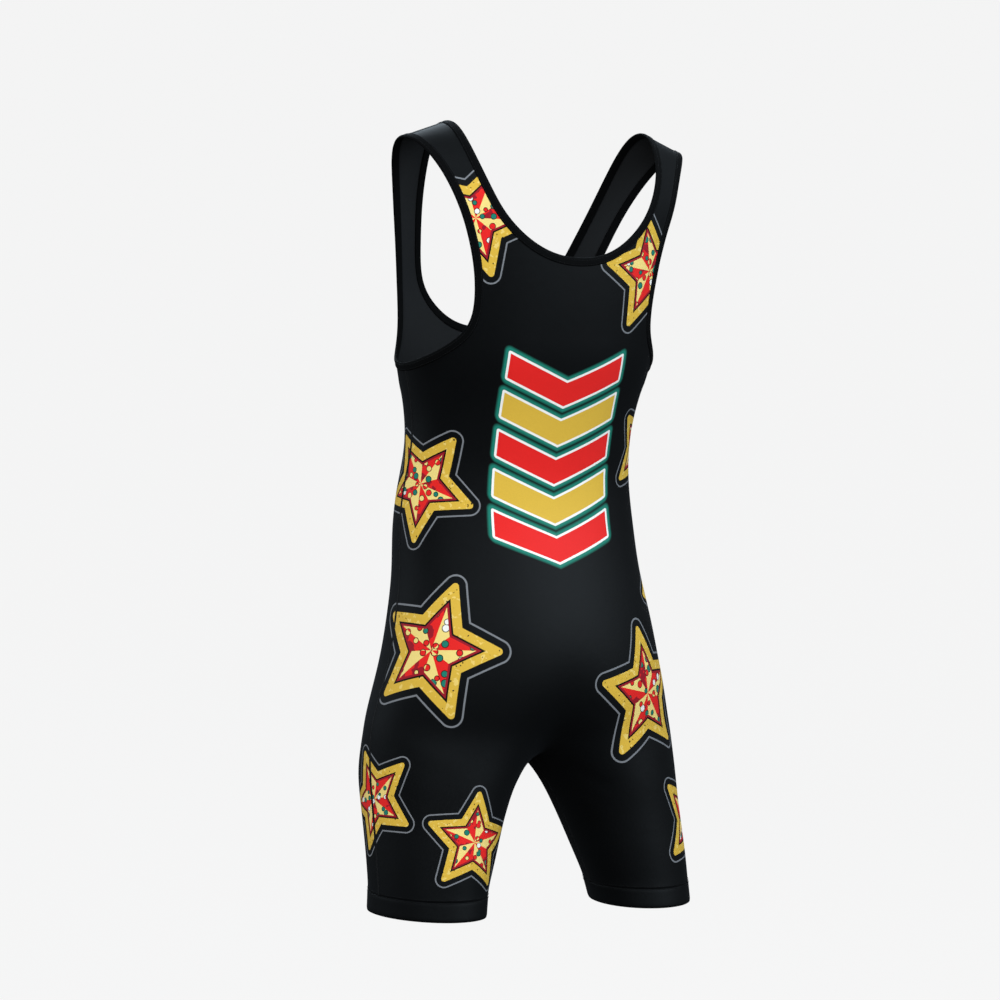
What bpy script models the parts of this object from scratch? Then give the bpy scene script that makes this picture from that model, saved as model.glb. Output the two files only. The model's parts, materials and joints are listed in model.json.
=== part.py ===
"""A wrestling singlet in its worn, hollow form, as closed cloth solids.

The skin is a half cage of rings (trunk and leg), rows (upper back and chest) and strap rungs. Mirror and
Subdivision Surface make it one smooth open surface, which is then cut along the side seams, inseams, shoulder
seams and hem lines into the pieces that are sewn together. Tables are in millimetres, objects in metres.

Frame: +Z up, the wearer faces -Y, the wearer's left is +X. The origin lies midway between the two shoulder
straps, level with the top of the shoulders that carry them.
"""

import math
from collections import namedtuple

import bmesh
import bpy
from mathutils import Vector
from mathutils.bvhtree import BVHTree

MM = 0.001

# Cloth and trim
CLOTH = 1.5  # wall of a panel, all of it outside the skin
TRIM = 3.0  # wall of a binding, which is a tape folded over a raw edge, and of a turned hem
TRIM_INSIDE = 0.8  # how much of a trim's wall lies inside the skin
BINDING_WIDTH = 9.0
GAP = 0.3  # between pieces that are sewn together
SUBDIVISIONS = 1

# Columns of the half cage: 0 is the centre back, SIDE the side seam, FRONT the centre front
STRAP_IN, STRAP_OUT, SIDE, FRONT = 3, 5, 7, 14
CROTCH_STEPS = 4  # cage faces along the inside of a leg, between its back and front corners
ROUNDNESS = 2.12  # exponent of the trunk's superellipse: 2 is an ellipse
RING_SWELL = 1.007  # a subdivided ring of 28 columns comes out this much smaller than its cage
BACK, CHEST, HEM_BAND, NECK_TAPE, ARM_TAPE = range(5)  # the kinds of piece that a face may belong to

# Rings of the trunk, from the foot of the armholes down to the crotch. Heights at the side seam, the centre
# back and the centre front. A dip is how far the centre line sinks between the two sides of the seat.
Ring = namedtuple("Ring", "side_z back_z front_z half_width back_y front_y back_dip front_dip")
TRUNK = [
    Ring(-253, -252, -252, 151, 102, -104, 0, 0),
    Ring(-298, -298, -298, 136, 84, -105, 0, 0),
    Ring(-343, -343, -343, 132, 71, -104, 0, 0),
    Ring(-388, -388, -388, 139, 61, -114, 0, 0),
    Ring(-435, -435, -435, 145, 66, -118, 0, 0),
    Ring(-482, -482, -482, 146, 80, -119, 0, 0),
    Ring(-530, -530, -530, 155, 96, -121, 0, 0),
    Ring(-575, -575, -575, 163, 104, -126, 0, 0),
    Ring(-612, -614, -613, 173, 104, -130, 8, 4),
    Ring(-641, -648, -645, 181, 97, -129, 22, 20),
    Ring(-661, -668, -665, 186, 92, -122, 44, 56),
]
DIP_WIDTH = 34  # the dip fades out over this distance from the centre line
CROTCH = [(22, -677), (-6, -680), (-34, -676)]  # y, z of the cage points under the crotch, back to front

# The torso above the foot of the armholes: half width, centre back and centre front at each height
Section = namedtuple("Section", "z half_width back_y front_y")
TORSO = [
    Section(-252, 153, 102, -104),
    Section(-200, 162, 112, -108),
    Section(-150, 173, 119, -105),
    Section(-90, 184, 124, -95),
]

# x, z of each row of the upper back and chest, from the centre line out to the armhole edge
BACK_ROWS = [
    [(0, -226), (28, -226), (56, -224), (84, -221), (98, -219), (112, -215)],
    [(0, -199), (28, -198), (55, -193), (82, -185), (96, -183), (111, -181)],
    [(0, -170), (30, -167), (58, -157), (85, -143), (100, -144), (116, -145)],
    [(0, -141), (32, -137), (62, -121), (88, -95), (107, -101), (126, -107)],
]
CHEST_ROWS = [
    [(0, -229), (29, -228), (58, -222), (86, -209), (103, -207), (120, -205)],
    [(0, -205), (32, -200), (60, -183), (84, -156), (103, -161), (121, -166)],
]
ARMHOLE_FOOT = [(130, -235), (148, -249)]  # x, z of the cage points beside the side seam, on back and chest

# Rungs of a strap, from the back neck over the shoulder to the chest: its neck edge and its armhole edge
Rung = namedtuple("Rung", "neck_x neck_y neck_z arm_x arm_y arm_z")
STRAP = [
    Rung(102, 108, -68, 137, 94, -80),
    Rung(112, 99, -41, 147, 86, -54),
    Rung(118, 85, -16, 158, 75, -32),
    Rung(121, 68, 3, 169, 62, -16),
    Rung(122, 47, 11, 177, 44, -9),
    Rung(121, 25, 7, 176, 24, -12),
    Rung(119, 3, -9, 169, 3, -27),
    Rung(115, -19, -36, 158, -16, -50),
    Rung(108, -43, -72, 146, -36, -82),
    Rung(97, -67, -112, 134, -54, -122),
]
SHOULDER_SEAM = 4  # the rung on which back and chest meet

# Rings of a leg: centre, half length from front to back and half width
Leg = namedtuple("Leg", "z centre_x centre_y half_length half_width")
LEG = [
    Leg(-704, 107, -9, 95, 81),
    Leg(-740, 116, -1, 86, 72),
    Leg(-788, 125, 11, 77, 65),
    Leg(-818, 131, 17, 72, 60),
    Leg(-830, 133, 19, 71, 58),
    Leg(-853, 136, 22, 72, 56),
]
HEM_RING = 4  # the ring along which a leg's hem is turned up
TOE_OUT = math.radians(20)  # how far a thigh is turned outward
HEM_DROP = 0.06  # how much lower the hem is at the back, for each unit of depth

COLOURS = {
    "back_panel": (0.012, 0.013, 0.014, 1),
    "front_panel": (0.013, 0.014, 0.015, 1),
    "neck_binding": (0.006, 0.006, 0.007, 1),
    "left_armhole_binding": (0.006, 0.006, 0.007, 1),
    "right_armhole_binding": (0.006, 0.006, 0.007, 1),
    "left_leg_hem": (0.012, 0.013, 0.014, 1),
    "right_leg_hem": (0.012, 0.013, 0.014, 1),
}


def clear_scene():
    for item in list(bpy.data.objects):
        bpy.data.objects.remove(item, do_unlink=True)


def collection(name):
    made = bpy.data.collections.new(name)
    bpy.context.scene.collection.children.link(made)
    return made


def cloth_material(name):
    material = bpy.data.materials.new(name)
    material.use_nodes = True
    shader = material.node_tree.nodes["Principled BSDF"]
    shader.inputs["Base Color"].default_value = COLOURS[name]
    shader.inputs["Roughness"].default_value = 0.7
    shader.inputs["Metallic"].default_value = 0
    return material


def add_object(name, mesh, group, material=None):
    item = bpy.data.objects.new(name, mesh)
    group.objects.link(item)
    if material:
        mesh.materials.clear()
        mesh.materials.append(material)
        mesh.polygons.foreach_set("material_index", [0] * len(mesh.polygons))
    return item


def superellipse(share, half_width, depth):
    """x and y of a quarter section, share 0 on the centre line and 1 at the side."""
    angle = share * math.pi / 2
    power = 2 / ROUNDNESS
    return half_width * math.sin(angle) ** power, depth * max(math.cos(angle), 0) ** power


def ring_points(ring):
    """Half a trunk ring, from the centre back round the side to the centre front."""
    points = []
    middle = (ring.back_y + ring.front_y) / 2
    for column in range(FRONT + 1):
        at_back = column <= SIDE
        share = column / SIDE if at_back else (FRONT - column) / (FRONT - SIDE)
        centre_y = ring.back_y if at_back else ring.front_y
        x, y = superellipse(share, ring.half_width, centre_y - middle)
        dip = ring.back_dip if at_back else ring.front_dip
        sunk = dip * math.exp(-((x / DIP_WIDTH) ** 2))
        y -= math.copysign(sunk, centre_y - middle)
        end_z = ring.back_z if at_back else ring.front_z
        z = ring.side_z + (end_z - ring.side_z) * (1 - share) ** 2
        points.append(Vector((x * RING_SWELL, middle + y * RING_SWELL, z)))
    return points


def torso_section(z):
    """The torso's half width, centre back and centre front at height z, read from TORSO."""
    for low, high in zip(TORSO, TORSO[1:]):
        if z <= high.z or high is TORSO[-1]:
            t = min(max((z - low.z) / (high.z - low.z), 0), 1)
            return [a + (b - a) * t for a, b in zip(low[1:], high[1:])]


def torso_point(x, z, at_back):
    """The point of the upper torso at x and z, on its back or its chest."""
    half_width, back_y, front_y = torso_section(z)
    middle = (back_y + front_y) / 2
    depth = (back_y if at_back else front_y) - middle
    rise = (1 - min(x / half_width, 1) ** ROUNDNESS) ** (1 / ROUNDNESS)
    return Vector((x, middle + depth * rise, z))


def leg_point(leg, turn):
    """A point of a leg's ring. turn 0 faces the other leg, a quarter is the back."""
    angle = turn * 2 * math.pi
    x, y = -math.cos(angle), math.sin(angle)
    along = (-x * math.sin(TOE_OUT) + y * math.cos(TOE_OUT)) / leg.half_length
    across = (x * math.cos(TOE_OUT) + y * math.sin(TOE_OUT)) / leg.half_width
    reach = RING_SWELL / math.hypot(along, across)
    return Vector((leg.centre_x + x * reach, leg.centre_y + y * reach, leg.z - HEM_DROP * y * reach))


class Cage:
    """The half cage as a bmesh. Rows of vertices are joined by faces, each marked with its piece."""

    def __init__(self):
        self.bm = bmesh.new()

    def row(self, points):
        return [self.bm.verts.new(point * MM) for point in points]

    def join(self, upper, lower, piece_of):
        """Faces between two rows. piece_of gives the piece of each column."""
        for column in range(len(upper) - 1):
            corners = (upper[column], upper[column + 1], lower[column + 1], lower[column])
            face = self.bm.faces.new(corners)
            face.material_index = piece_of(column)


def body_piece(column):
    return BACK if column < SIDE else CHEST


def leg_piece(column):
    """Back from the inseam round to the side seam, chest from there to the inseam."""
    return BACK if column < SIDE or column >= FRONT + CROTCH_STEPS // 2 else CHEST


def build_cage():
    cage = Cage()
    foot_x = [x for x, _ in ARMHOLE_FOOT]
    foot_z = [z for _, z in ARMHOLE_FOOT]

    trunk = [cage.row(ring_points(ring)) for ring in TRUNK]
    top = trunk[0]
    for step in range(2):  # the foot of the armhole rises from the side seam towards back and chest
        for column, at_back in ((STRAP_OUT + step, True), (FRONT - STRAP_OUT - step, False)):
            top[column].co = torso_point(foot_x[step], foot_z[step], at_back) * MM
    for upper, lower in zip(trunk, trunk[1:]):
        cage.join(upper, lower, body_piece)

    back = [top[: STRAP_OUT + 1]]
    for row in BACK_ROWS:
        back.append(cage.row([torso_point(x, z, True) for x, z in row]))
        cage.join(back[-1], back[-2], lambda column: BACK)
    chest = [top[FRONT - STRAP_OUT :]]
    for row in CHEST_ROWS:
        chest.append(cage.row([torso_point(x, z, False) for x, z in reversed(row)]))
        cage.join(chest[-1], chest[-2], lambda column: CHEST)

    rungs = [back[-1][STRAP_IN:]]
    for rung in STRAP:
        neck, arm = Vector(rung[:3]), Vector(rung[3:])
        rungs.append(cage.row([neck, (neck + arm) / 2, arm]))
    rungs.append(chest[-1][: STRAP_OUT - STRAP_IN + 1][::-1])
    for number, (lower, upper) in enumerate(zip(rungs, rungs[1:])):
        piece = BACK if number <= SHOULDER_SEAM else CHEST
        cage.join(upper, lower, lambda column, piece=piece: piece)

    under = cage.row([Vector((0, y, z)) for y, z in CROTCH])[::-1]
    steps = FRONT + CROTCH_STEPS
    leg = [trunk[-1] + under]
    for ring in LEG:
        first_turn = CROTCH_STEPS / 2 / steps
        leg.append(cage.row([leg_point(ring, first_turn + k / steps) for k in range(steps)]))
    for number, (upper, lower) in enumerate(zip(leg, leg[1:])):
        piece_of = leg_piece if number < HEM_RING + 1 else lambda column: HEM_BAND
        cage.join(upper + upper[:1], lower + lower[:1], piece_of)
    return cage.bm


def smooth_skin(group):
    """The whole skin: the half cage mirrored and subdivided, as one open mesh."""
    mesh = bpy.data.meshes.new("skin")
    bm = build_cage()
    bm.to_mesh(mesh)
    bm.free()
    for kind in (BACK, CHEST, HEM_BAND, NECK_TAPE, ARM_TAPE):
        mesh.materials.append(bpy.data.materials.new(f"kind_{kind}"))
    guide = add_object("skin_guide", mesh, group)
    mirror = guide.modifiers.new("Mirror", "MIRROR")
    mirror.use_clip = True
    mirror.merge_threshold = 0.0001
    smooth = guide.modifiers.new("Subdivision", "SUBSURF")
    smooth.levels = smooth.render_levels = SUBDIVISIONS
    evaluated = guide.evaluated_get(bpy.context.evaluated_depsgraph_get())
    skin = bpy.data.meshes.new_from_object(evaluated)
    bpy.data.objects.remove(guide, do_unlink=True)
    return skin


def edge_loops(bm):
    """The skin's open edges, as rings of vertices."""
    left = {edge for edge in bm.edges if edge.is_boundary}
    loops = []
    while left:
        edge = min(left, key=lambda e: e.index)
        left.remove(edge)
        loop = [edge.verts[0], edge.verts[1]]
        while loop[-1] is not loop[0]:
            edge = next(e for e in loop[-1].link_edges if e in left)
            left.remove(edge)
            loop.append(edge.other_vert(loop[-1]))
        loops.append(loop[:-1])
    return loops


def nearest_on_loop(loop, point):
    """The nearest point to point on a ring of places."""
    best = None
    for start, end in zip(loop, loop[1:] + loop[:1]):
        run = end - start
        share = min(max((point - start).dot(run) / run.length_squared, 0), 1)
        place = start + run * share
        if best is None or (place - point).length < (best - point).length:
            best = place
    return best


def lay_binding(bm, tree, loop, kind):
    """Gives the faces along an open edge to its binding, and makes their strip as wide as the tape."""
    edge = set(loop)
    places = [vert.co.copy() for vert in loop]
    strip = {face for vert in loop for face in vert.link_faces}
    for face in strip:
        face.material_index = kind
    for vert in {vert for face in strip for vert in face.verts} - edge:
        near = nearest_on_loop(places, vert.co)
        reach = near + (vert.co - near).normalized() * BINDING_WIDTH * MM
        vert.co = tree.find_nearest(reach)[0]


def lay_bindings(bm):
    """Marks off the neck and armhole bindings. The hems keep their own bands."""
    tree = BVHTree.FromBMesh(bm)
    for loop in edge_loops(bm):
        middle = sum((vert.co for vert in loop), Vector()) / len(loop)
        if middle.z > TRUNK[-1].side_z * MM:
            on_centre = abs(middle.x) < STRAP[0].neck_x * MM / 2
            lay_binding(bm, tree, loop, NECK_TAPE if on_centre else ARM_TAPE)


def mark_seams(bm):
    """Marks the edges along which two pieces meet."""
    for edge in bm.edges:
        edge.seam = len({face.material_index for face in edge.link_faces}) > 1


def open_seams(bm):
    """Draws a piece's sewn edges back by half the gap."""
    moves = {}
    for vert in bm.verts:
        sewn = [edge for edge in vert.link_edges if edge.seam and edge.is_boundary]
        if not sewn:
            continue
        inward = Vector()
        for edge in sewn:
            along = (edge.other_vert(vert).co - vert.co).normalized()
            into = edge.link_faces[0].calc_center_median() - vert.co
            inward += (into - along * into.dot(along)).normalized()
        moves[vert] = inward.normalized() * GAP / 2 * MM
    for vert, move in moves.items():
        vert.co += move


def cut_piece(name, skin, group, wanted, wall, inside=0):
    """One sewn piece: the faces that wanted accepts, given a wall, some of it inside the skin."""
    bm = skin.copy()
    unwanted = [face for face in bm.faces if not wanted(face)]
    bmesh.ops.delete(bm, geom=unwanted, context="FACES")
    open_seams(bm)
    mesh = bpy.data.meshes.new(name)
    bm.to_mesh(mesh)
    bm.free()
    piece = add_object(name, mesh, group, cloth_material(name))
    shell = piece.modifiers.new("Wall", "SOLIDIFY")
    shell.thickness = wall * MM
    shell.offset = 1 - 2 * inside / wall
    mesh.shade_smooth()
    return piece


def kind_on_side(kind, side):
    """Whether a face is of a kind, and on the wearer's left (side 1) or right (side -1)."""
    return lambda face: face.material_index == kind and face.calc_center_median().x * side > 0


def main():
    clear_scene()
    group = collection("Wrestling singlet")
    skin = bmesh.new()
    skin.from_mesh(smooth_skin(group))
    lay_bindings(skin)
    mark_seams(skin)
    cut_piece("back_panel", skin, group, lambda face: face.material_index == BACK, CLOTH)
    cut_piece("front_panel", skin, group, lambda face: face.material_index == CHEST, CLOTH)
    cut_piece("neck_binding", skin, group, lambda face: face.material_index == NECK_TAPE, TRIM, TRIM_INSIDE)
    for word, side in (("left", 1), ("right", -1)):
        for trim, kind in (("armhole_binding", ARM_TAPE), ("leg_hem", HEM_BAND)):
            cut_piece(f"{word}_{trim}", skin, group, kind_on_side(kind, side), TRIM, TRIM_INSIDE)
    skin.free()


main()
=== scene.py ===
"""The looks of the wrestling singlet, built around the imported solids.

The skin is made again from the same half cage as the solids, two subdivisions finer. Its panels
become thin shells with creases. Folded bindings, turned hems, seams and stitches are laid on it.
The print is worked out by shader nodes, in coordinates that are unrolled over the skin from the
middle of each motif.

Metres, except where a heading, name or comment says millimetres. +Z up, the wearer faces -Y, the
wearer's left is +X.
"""

import heapq
import json
import math
from collections import Counter, namedtuple

import bmesh
import bpy
import numpy as np
from mathutils import Matrix, Vector
from mathutils.bvhtree import BVHTree

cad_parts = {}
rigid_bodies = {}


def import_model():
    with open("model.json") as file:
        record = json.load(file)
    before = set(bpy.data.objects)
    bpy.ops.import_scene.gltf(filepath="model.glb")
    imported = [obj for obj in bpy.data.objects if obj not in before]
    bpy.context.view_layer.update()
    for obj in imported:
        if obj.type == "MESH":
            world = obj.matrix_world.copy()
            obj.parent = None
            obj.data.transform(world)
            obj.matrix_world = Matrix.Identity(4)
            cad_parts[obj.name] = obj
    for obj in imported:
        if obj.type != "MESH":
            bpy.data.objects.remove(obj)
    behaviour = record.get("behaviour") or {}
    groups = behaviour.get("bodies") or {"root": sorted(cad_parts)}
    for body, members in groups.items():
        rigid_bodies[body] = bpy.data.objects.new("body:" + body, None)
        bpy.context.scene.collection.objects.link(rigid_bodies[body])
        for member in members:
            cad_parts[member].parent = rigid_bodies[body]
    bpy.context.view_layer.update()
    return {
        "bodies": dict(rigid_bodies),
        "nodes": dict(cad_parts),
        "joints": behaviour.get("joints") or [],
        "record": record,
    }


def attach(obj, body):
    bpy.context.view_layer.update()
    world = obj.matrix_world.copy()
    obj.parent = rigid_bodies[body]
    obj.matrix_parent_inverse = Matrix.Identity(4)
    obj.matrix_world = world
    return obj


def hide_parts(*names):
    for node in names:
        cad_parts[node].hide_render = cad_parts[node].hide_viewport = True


MM = 0.001
TINY = 1e-5  # added to a distance before it divides
NO_LENGTH = 1e-9  # the least length that a step is divided by

# -------------------- the form, as in the solids (millimetres)

STRAP_IN, STRAP_OUT, SIDE, FRONT = 3, 5, 7, 14  # columns of the half cage: 0 is the centre back
CROTCH_STEPS = 4
ROUNDNESS = 2.12
RING_SWELL = 1.004  # a ring is drawn this much larger, because subdivision shrinks it
SUBDIVISIONS = 3
MIRROR_WELD = 0.1  # corners this close to the middle plane are joined across it
BACK, CHEST, HEM_BAND = range(3)  # the kinds of face

Ring = namedtuple("Ring", "side_z back_z front_z half_width back_y front_y back_dip front_dip")
TRUNK = [
    Ring(-253, -252, -252, 151, 102, -104, 0, 0),
    Ring(-298, -298, -298, 136, 84, -105, 0, 0),
    Ring(-343, -343, -343, 132, 71, -104, 0, 0),
    Ring(-388, -388, -388, 139, 61, -114, 0, 0),
    Ring(-435, -435, -435, 145, 66, -118, 0, 0),
    Ring(-482, -482, -482, 146, 80, -119, 0, 0),
    Ring(-530, -530, -530, 155, 96, -121, 0, 0),
    Ring(-575, -575, -575, 163, 104, -126, 0, 0),
    Ring(-612, -614, -613, 173, 104, -130, 8, 4),
    Ring(-641, -648, -645, 181, 97, -129, 22, 20),
    Ring(-661, -668, -665, 186, 92, -122, 44, 56),
]
DIP_WIDTH = 34
CROTCH = [(22, -677), (-6, -680), (-34, -676)]  # y, z of the line between the legs

Section = namedtuple("Section", "z half_width back_y front_y")
TORSO = [
    Section(-252, 153, 102, -104),
    Section(-200, 162, 112, -108),
    Section(-150, 173, 119, -105),
    Section(-90, 184, 124, -95),
]

# x, z of each row of the upper back and chest, from the centre line out to the armhole edge
BACK_ROWS = [
    [(0, -226), (28, -226), (56, -224), (84, -221), (98, -219), (112, -215)],
    [(0, -199), (28, -198), (55, -193), (82, -185), (96, -183), (111, -181)],
    [(0, -170), (30, -167), (58, -157), (85, -143), (100, -144), (116, -145)],
    [(0, -141), (32, -137), (62, -121), (88, -95), (107, -101), (126, -107)],
]
CHEST_ROWS = [
    [(0, -229), (29, -228), (58, -222), (86, -209), (103, -207), (120, -205)],
    [(0, -205), (32, -200), (60, -183), (84, -156), (103, -161), (121, -166)],
]
ARMHOLE_FOOT = [(130, -235), (148, -249)]  # on back and chest, where it rises from the side seam

Rung = namedtuple("Rung", "neck_x neck_y neck_z arm_x arm_y arm_z")
STRAP = [
    Rung(102, 108, -68, 137, 94, -80),
    Rung(112, 99, -41, 147, 86, -54),
    Rung(118, 85, -16, 158, 75, -32),
    Rung(121, 68, 3, 169, 62, -16),
    Rung(122, 47, 11, 177, 44, -9),
    Rung(121, 25, 7, 176, 24, -12),
    Rung(119, 3, -9, 169, 3, -27),
    Rung(115, -19, -36, 158, -16, -50),
    Rung(108, -43, -72, 146, -36, -82),
    Rung(97, -67, -112, 134, -54, -122),
]
SHOULDER_SEAM = 4

Leg = namedtuple("Leg", "z centre_x centre_y half_length half_width")
LEG = [
    Leg(-704, 107, -9, 95, 81),
    Leg(-740, 116, -1, 86, 72),
    Leg(-788, 125, 11, 77, 65),
    Leg(-818, 131, 17, 72, 60),
    Leg(-830, 133, 19, 71, 58),
    Leg(-853, 136, 22, 72, 56),
]
HEM_RING = 4
TOE_OUT = math.radians(20)
HEM_DROP = 0.06

# -------------------- cloth, trim and stitches (millimetres)

PANEL_OUT, PANEL_IN = 1.4, 0.4  # the two faces of a panel, out from the skin
HEM_OUT, HEM_IN = 1.9, -0.5
HEM_ROLL = 0.5  # how far the rims of a hem fall away

# A binding's folded tape: how far in from the skin's edge, and how far out from the skin
TAPE = [
    (9.0, 1.45), (8.6, 1.95), (7.4, 2.2), (5.0, 2.3), (2.6, 2.25), (0.9, 2.05), (-0.1, 1.5),
    (-0.5, 0.7), (-0.2, -0.2), (0.8, -0.65), (3.0, -0.75), (6.5, -0.75), (8.2, -0.7),
    (8.8, -0.45), (8.9, 0.3), (8.9, 1.0),
]
NECK_REACH = 50  # the middle of the neck's edge lies within this of the middle plane

# A flatlock seam is a flat band over the butted edges, with a row of slanting threads on each side.
# Its section is in widths across and rises out.
SEAM_WIDTH, SEAM_RISE = 3.8, 0.35
SEAM_SECTION = ((-0.5, -0.3), (-0.42, 0.75), (-0.2, 1.0), (0.2, 1.0), (0.42, 0.75), (0.5, -0.3))
SEAM_PITCH, SEAM_THREAD = 2.2, (2.1, 0.5)  # a thread's length and width
SEAM_ROW = 0.27  # how far a row of threads lies from the middle, in seam widths
SEAM_SLANT = 0.45  # how far a thread leans along the seam, for each step across it

# A thread's places along its length, and its thickness there, in its own length and width
THREAD_PROFILE = ((-0.5, 0.45), (0.0, 1.0), (0.5, 0.45))
THREAD_SIDES = 4

Stitching = namedtuple("Stitching", "inset pitch length width rise")
BINDING_STITCHES = (Stitching(7.4, 2.9, 2.3, 0.55, 2.25), Stitching(2.2, 2.9, 2.3, 0.5, 2.28))
HEM_STITCHES = (Stitching(23.6, 3.0, 2.4, 0.6, 1.85), Stitching(20.4, 3.0, 2.4, 0.6, 2.05))

# -------------------- creases (millimetres)

# A soft ridge, or a trough where rise is below 0, between two points near the skin. It fades
# towards both ends.
CREASE_END = 0.02  # the share of its length at each end where a crease no longer falls
CREASE_FADE = 0.6
Crease = namedtuple("Crease", "x1 y1 z1 x2 y2 z2 width rise")
CREASES = [
    # at the small of the back and over the seat
    Crease(-92, 60, -372, -22, 66, -381, 9, -0.9),
    Crease(28, 66, -396, 104, 54, -386, 10, 0.8),
    Crease(-112, 50, -411, -60, 64, -418, 8, 0.6),
    Crease(-20, 100, -632, -78, 96, -655, 9, -0.9),
    Crease(24, 98, -640, 88, 92, -668, 10, -0.8),
    # out from the crotch, behind and in front
    Crease(-14, 40, -690, -72, 76, -724, 7, -1.1),
    Crease(-16, 30, -700, -58, 60, -752, 6, 0.8),
    Crease(16, 40, -690, 66, 82, -716, 7, -1.1),
    Crease(18, 30, -702, 62, 66, -758, 6, 0.8),
    Crease(-14, -60, -684, -84, -104, -668, 8, -1.1),
    Crease(14, -60, -686, 78, -106, -662, 8, -1.0),
    Crease(-18, -46, -700, -74, -84, -722, 7, 0.9),
    Crease(18, -46, -702, 84, -86, -716, 7, 0.8),
    # along the top of each thigh and above the hems
    Crease(-168, 26, -668, -118, 78, -690, 11, 0.7),
    Crease(172, 20, -664, 122, 78, -694, 12, 0.8),
    Crease(-176, 40, -806, -130, 84, -800, 8, 0.5),
    Crease(110, 84, -812, 160, 66, -802, 8, -0.5),
    # at the foot of each armhole, and where the straps leave it
    Crease(-146, 20, -262, -118, 66, -282, 7, 0.8),
    Crease(146, 24, -264, 116, 70, -290, 7, -0.8),
    Crease(144, -30, -266, 112, -80, -288, 8, 0.8),
    Crease(-144, -34, -268, -104, -84, -282, 8, -0.7),
    Crease(112, 104, -104, 124, 96, -150, 6, 0.6),
    Crease(-114, 104, -108, -120, 98, -156, 6, -0.6),
    # across the belly
    Crease(-88, -96, -376, -16, -108, -386, 10, -0.7),
    Crease(20, -110, -402, 96, -92, -390, 10, 0.7),
    Crease(-70, -110, -560, 10, -124, -572, 14, 0.6),
]

# -------------------- the print

# A star's middle near the skin and its radius, in millimetres. It points up before its turn, in
# degrees. It is drawn in units of its own radius.
Star = namedtuple("Star", "x y z radius turn")
STARS = [
    Star(118, 102, -100, 62, -20),
    Star(-104, 108, -150, 64, 14),
    Star(140, 6, -384, 62, 32),
    Star(-136, 10, -340, 58, -12),
    Star(150, 52, -564, 74, -16),
    Star(-158, -8, -500, 58, 22),
    Star(-116, 84, -618, 72, 8),
    Star(196, 2, -728, 54, 28),
    Star(-186, 40, -764, 62, -24),
    Star(110, 88, -772, 52, -8),
    Star(78, -96, -196, 60, 10),
    Star(-130, -54, -92, 46, -24),
    Star(-62, -106, -314, 72, -14),
    Star(62, -114, -476, 72, 20),
    Star(-104, -98, -584, 72, 6),
    Star(104, -98, -690, 60, -18),
    Star(-116, -70, -776, 56, 24),
]
STAR_POINTS = 5
HALF_POINT = math.pi / STAR_POINTS  # the angle from a tip to the next inner corner
STAR_WAIST = 0.5  # how far out a star's inner corners are
STAR_REACH = 1.4  # how far round its middle the skin is unrolled for a star
STAR_OUTLINE = 0.186  # how far its outline stands out from a star
# A star's bands from the outline inwards: how far out from the star's edge each begins, and its ink
STAR_BANDS = (
    (STAR_OUTLINE, "grey"),
    (0.158, "cloth"),
    (0.055, "rim"),
    (-0.085, "cloth"),
    (-0.112, "crimson"),
    (-0.145, "field"),
)
# Patches where a noise is above a limit: crimson on red facets, pale strokes and flecks on the rim
Noise = namedtuple("Noise", "scale detail")
SHADE, SHADE_ABOVE = Noise(4.0, 2.0), 0.57
STROKES, STROKES_ABOVE, STROKE_SHARE = Noise(11.0, 3.0), 0.60, 0.6
FLECKS, FLECKS_ABOVE = Noise(17.0, 1.0), 0.70
# The dots on a star's facets, in units of their spacing
DOT_SCALE = 5.2  # dots to a radius
DOT_RADIUS, DOT_SPREAD, DOT_LINE = 0.15, 0.12, 0.06  # the least radius, what is added, the outline
DOTS_TEAL, DOTS_NOT_WHITE = 0.5, 0.82  # of a random number: teal below, white above
DOTS_APART = 3.0  # how far from one star's dots the next one's are taken, in radii

# The stack of chevrons on the back. Its middle near the skin is in millimetres, the rest in metres.
CHEVRON_STACK = (0, 72, -358)
CHEVRON_REACH = 0.175
CHEVRON_HALF_WIDTH, CHEVRON_THICKNESS, CHEVRON_STEP, CHEVRON_SLOPE = 0.070, 0.027, 0.044, 0.42
CHEVRON_SQUASH = math.cos(math.atan(CHEVRON_SLOPE))  # thickness square to the slope, for 1 down
# How far below the middle of the stack each one turns, and its colour, from the top
CHEVRONS = [
    ((number - 2) * CHEVRON_STEP + CHEVRON_HALF_WIDTH * CHEVRON_SLOPE / 2, colour)
    for number, colour in enumerate(("red", "gold", "red", "gold", "red"))
]
WHITE_EDGE, TEAL_EDGE, GLOW = 0.0026, 0.0048, 0.0078  # where the outlines round a chevron end

# The third number of a print coordinate says which motif it belongs to. Each star has its own, a
# step apart, and 0 is no motif.
STAR_LAYER, STAR_STEP, CHEVRON_LAYER = 1.0, 0.02, 2.0
STARS_FROM, CHEVRONS_FROM = 0.5, 1.5  # limits between those layers
PRINT_MARGIN = 0.012  # faces this far outside every motif carry no print, metres

# -------------------- inks and cloths

INK = {
    "cloth": (0.0022, 0.0026, 0.0030),
    "inside": (0.012, 0.013, 0.014),
    "tape": (0.0012, 0.0013, 0.0014),
    "thread": (0.0060, 0.0062, 0.0066),
    "red": (0.74, 0.014, 0.012),
    "crimson": (0.30, 0.006, 0.016),
    "gold": (0.66, 0.42, 0.046),
    "yellow": (0.84, 0.66, 0.21),
    "teal": (0.008, 0.19, 0.135),
    "white": (0.84, 0.84, 0.80),
    "grey": (0.175, 0.185, 0.20),
}

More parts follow.
